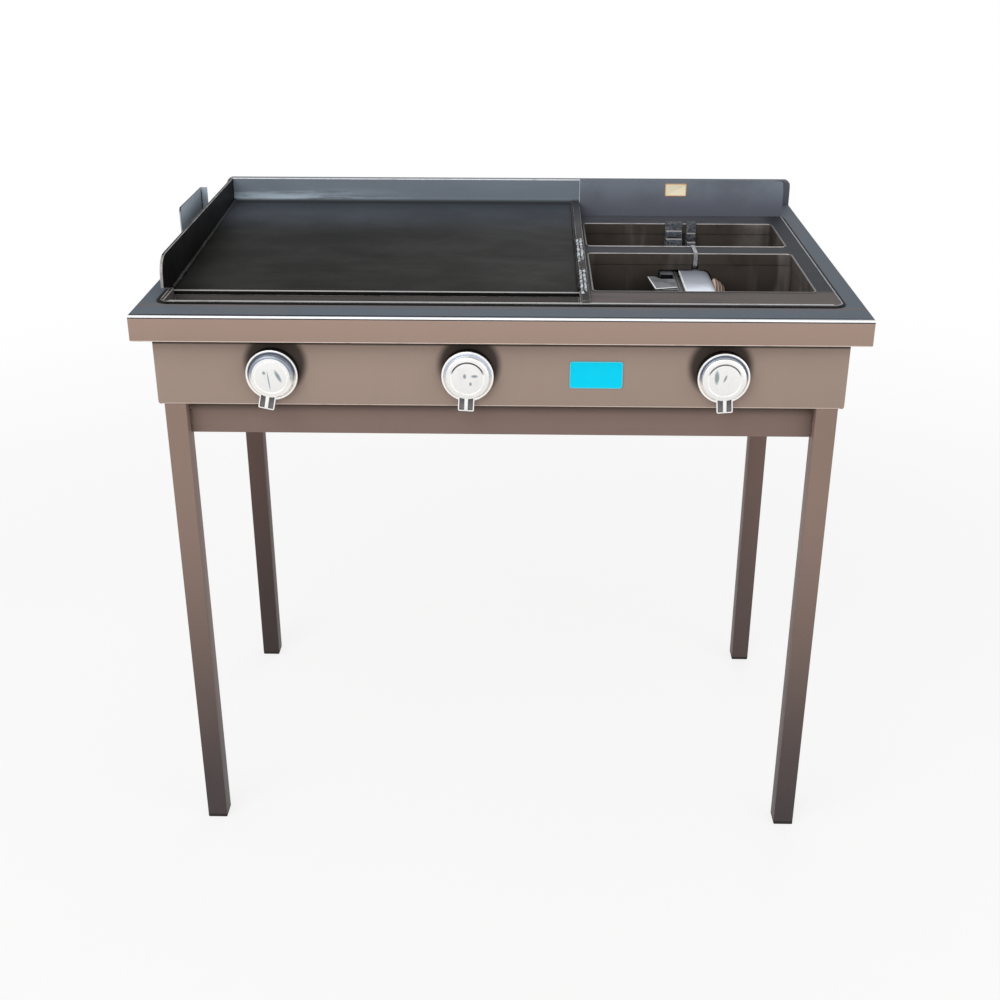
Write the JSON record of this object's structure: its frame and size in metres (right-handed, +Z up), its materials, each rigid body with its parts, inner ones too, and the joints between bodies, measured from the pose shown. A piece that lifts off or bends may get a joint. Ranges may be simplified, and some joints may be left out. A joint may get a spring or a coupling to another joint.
{
  "type": "outdoor gas griddle station",
  "caption": "Free-standing gas griddle on square legs, with a grease trough, splash guards, a two-opening burner well and lever knobs on the front.",
  "frame": {"origin": "on the floor under the middle of the worktop", "axes": "+X to the cook's right, +Y to the back, +Z up; the knobs face -Y"},
  "size_m": [1, 0.7, 0.917],
  "materials": {
    "leg_paint": "satin bronze-grey paint",
    "foot_plastic": "matte black",
    "worktop_paint": "satin slate-grey paint",
    "panel_paint": "satin taupe paint",
    "screw_steel": "zinc plated",
    "griddle_steel": "seasoned and oiled",
    "weld_steel": "rough weld bead",
    "deck_paint": "satin dark slate paint",
    "well_paint": "heat-browned dark paint",
    "burner_steel": "bare steel, dulled by heat",
    "tinted_steel": "copper-coloured heat tint",
    "pipe_steel": "galvanised",
    "valve_metal": "die cast",
    "brass": "turned",
    "knob_chrome": "bright satin plating",
    "bezel_plastic": "matte black",
    "badge_plastic": "bare cyan plate",
    "label_plastic": "bare cream label"
  },
  "bodies": {
    "frame": {"blank_badge": "badge_plastic", "burner_rack": "pipe_steel", "burner_strap": "burner_steel", "control_panel": "panel_paint", "divider_bar": "griddle_steel", "fire_box": "well_paint", "foot_front_left": "foot_plastic", "foot_front_right": "foot_plastic", "foot_rear_left": "foot_plastic", "foot_rear_right": "foot_plastic", "gas_manifold": "pipe_steel", "grease_trough": "griddle_steel", "griddle_burner_left": "pipe_steel", "griddle_burner_middle": "pipe_steel", "griddle_plate": "griddle_steel", "griddle_ring": "griddle_steel", "guard_left": "griddle_steel", "inlet_fitting": "brass", "knob_bezels": "bezel_plastic", "label_plate": "label_plastic", "leg_front_left": "leg_paint", "leg_front_right": "leg_paint", "leg_rear_left": "leg_paint", "leg_rear_right": "leg_paint", "manifold_plugs": "pipe_steel", "manifold_saddles": "pipe_steel", "panel_screws": "screw_steel", "plate_welds": "weld_steel", "rail_front": "leg_paint", "rail_left": "leg_paint", "rail_rear": "leg_paint", "rail_right": "leg_paint", "rear_hooks": "burner_steel", "rear_panel": "panel_paint", "side_bracket": "worktop_paint", "side_panel_left": "panel_paint", "side_panel_right": "panel_paint", "splash_left": "griddle_steel", "splash_right": "deck_paint", "supply_pipe": "pipe_steel", "valve_body_left": "valve_metal", "valve_body_middle": "valve_metal", "valve_body_right": "valve_metal", "valve_jets": "brass", "well_burner_body": "burner_steel", "well_burner_bracket": "burner_steel", "well_burner_nose": "tinted_steel", "well_deck": "deck_paint", "well_feed_pipe": "pipe_steel", "well_tub_front": "well_paint", "well_tub_rear": "well_paint", "worktop": "worktop_paint"},
    "spindle_left": {"valve_spindle_left": "brass"},
    "knob_left": {"knob_left": "knob_chrome"},
    "spindle_middle": {"valve_spindle_middle": "brass"},
    "knob_middle": {"knob_middle": "knob_chrome"},
    "spindle_right": {"valve_spindle_right": "brass"},
    "knob_right": {"knob_right": "knob_chrome"},
    "air_shutter_left": {"air_shutter_left": "pipe_steel"},
    "air_shutter_middle": {"air_shutter_middle": "pipe_steel"}
  },
  "joints": [
    {"name": "spindle_left_push", "type": "slide", "parent": "frame", "child": "spindle_left", "axis": [0, 1, 0], "range_m": [0, 0.003], "stiffness_N_per_m": 1500, "springref_m": -0.001},
    {"name": "knob_left_turn", "type": "hinge", "parent": "spindle_left", "child": "knob_left", "pos_m": [-0.313, -0.3325, 0.76], "axis": [0, 1, 0], "range_deg": [-12, 78]},
    {"name": "spindle_middle_push", "type": "slide", "parent": "frame", "child": "spindle_middle", "axis": [0, 1, 0], "range_m": [0, 0.003], "stiffness_N_per_m": 1500, "springref_m": -0.001},
    {"name": "knob_middle_turn", "type": "hinge", "parent": "spindle_middle", "child": "knob_middle", "pos_m": [-0.044, -0.3325, 0.76], "axis": [0, 1, 0], "range_deg": [-3, 87]},
    {"name": "spindle_right_push", "type": "slide", "parent": "frame", "child": "spindle_right", "axis": [0, 1, 0], "range_m": [0, 0.003], "stiffness_N_per_m": 1500, "springref_m": -0.001},
    {"name": "knob_right_turn", "type": "hinge", "parent": "spindle_right", "child": "knob_right", "pos_m": [0.306, -0.3325, 0.76], "axis": [0, 1, 0], "range_deg": [0, 90]},
    {"name": "air_shutter_left_turn", "type": "hinge", "parent": "frame", "child": "air_shutter_left", "pos_m": [-0.313, -0.242, 0.76], "axis": [0, 1, 0], "range_deg": [0, 60]},
    {"name": "air_shutter_middle_turn", "type": "hinge", "parent": "frame", "child": "air_shutter_middle", "pos_m": [-0.044, -0.242, 0.76], "axis": [0, 1, 0], "range_deg": [0, 60]}
  ]
}
